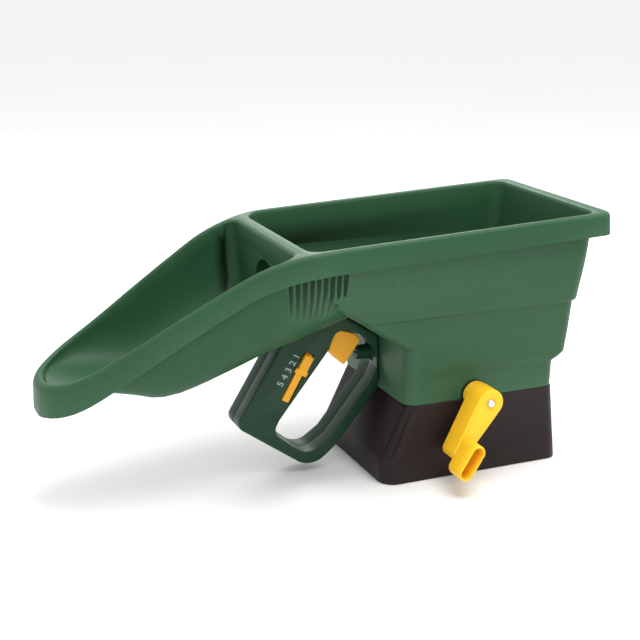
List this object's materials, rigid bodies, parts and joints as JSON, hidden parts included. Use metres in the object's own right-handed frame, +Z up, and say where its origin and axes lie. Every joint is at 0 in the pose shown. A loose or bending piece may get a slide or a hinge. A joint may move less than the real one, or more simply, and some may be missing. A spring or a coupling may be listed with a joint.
{
  "type": "hand-held crank spreader",
  "caption": "Hand-held broadcast spreader: scoop-ended hopper, loop handle with trigger and setting slide, side crank driving a geared spinner in the base.",
  "frame": {"origin": "centre of the base's underside, on the spinner axis", "axes": "+X forward, away from the scoop and along the throw; -Y towards the crank; +Z up"},
  "size_m": [0.4752, 0.2059, 0.2237],
  "materials": {
    "hopper_green": "satin moulded polypropylene, mid green",
    "handle_green": "satin moulded plastic, dark green",
    "base_brown": "satin moulded plastic, very dark brown",
    "crank_yellow": "semi-gloss moulded plastic, yellow",
    "amber": "semi-gloss moulded plastic, amber",
    "gear_white": "natural nylon or acetal",
    "zinc_steel": "zinc-plated steel",
    "seal_black": "black rubber"
  },
  "bodies": {
    "frame": {"hopper": "hopper_green", "handle_near": "handle_green", "handle_far": "handle_green", "rod_guide": "handle_green", "base_housing": "base_brown", "base_floor": "base_brown", "gear_frame": "base_brown", "drop_chute": "base_brown", "gate_retainer": "base_brown", "setting_rail": "amber", "crank_bush": "gear_white", "trigger_pin": "zinc_steel", "trigger_spring": "zinc_steel", "handle_screw_1": "zinc_steel", "handle_screw_2": "zinc_steel", "handle_screw_3": "zinc_steel", "handle_screw_4": "zinc_steel", "base_screw_1": "zinc_steel", "base_screw_2": "zinc_steel", "base_screw_3": "zinc_steel", "base_screw_4": "zinc_steel", "retainer_screw_1": "zinc_steel", "retainer_screw_2": "zinc_steel", "shaft_seal": "seal_black"},
    "crank": {"crank_arm": "crank_yellow", "crank_shaft": "zinc_steel", "drive_gear": "gear_white", "crank_screw": "zinc_steel", "knob_pin": "zinc_steel"},
    "knob": {"crank_knob": "crank_yellow"},
    "spinner": {"spinner_shaft": "zinc_steel", "spinner_disc": "gear_white", "pinion": "gear_white", "agitator": "gear_white", "spinner_washer": "zinc_steel"},
    "trigger": {"trigger": "amber"},
    "gate": {"gate_plate": "gear_white", "pull_rod": "zinc_steel", "rod_clip": "zinc_steel"},
    "setting": {"setting_slide": "amber"}
  },
  "joints": [
    {"name": "crank_turn", "type": "hinge", "parent": "frame", "child": "crank", "pos_m": [0, -0.08, 0.0724], "axis": [0, -1, 0], "continuous": true},
    {"name": "knob_spin", "type": "hinge", "parent": "crank", "child": "knob", "pos_m": [-0.027, -0.105, 0.0306], "axis": [0, -1, 0], "continuous": true},
    {"name": "spinner_turn", "type": "hinge", "parent": "frame", "child": "spinner", "pos_m": [0, 0, 0.05], "axis": [0, 0, 1], "continuous": true},
    {"name": "trigger_pull", "type": "hinge", "parent": "frame", "child": "trigger", "pos_m": [-0.097, 0, 0.1305], "axis": [0, 1, 0], "range_deg": [0, 15], "stiffness_Nm_per_rad": 0.3, "springref_deg": -6.88},
    {"name": "gate_slide", "type": "slide", "parent": "frame", "child": "gate", "axis": [-1, 0, 0], "range_m": [0, 0.0084]},
    {"name": "setting_move", "type": "slide", "parent": "frame", "child": "setting", "axis": [-0.4959, 0, -0.8684], "range_m": [-0.007, 0.021]}
  ],
  "couplings": [
    {"joint": "spinner_turn", "follows": "crank_turn", "ratio": 3},
    {"joint": "gate_slide", "follows": "trigger_pull", "m_per_rad": 0.0316}
  ]
}
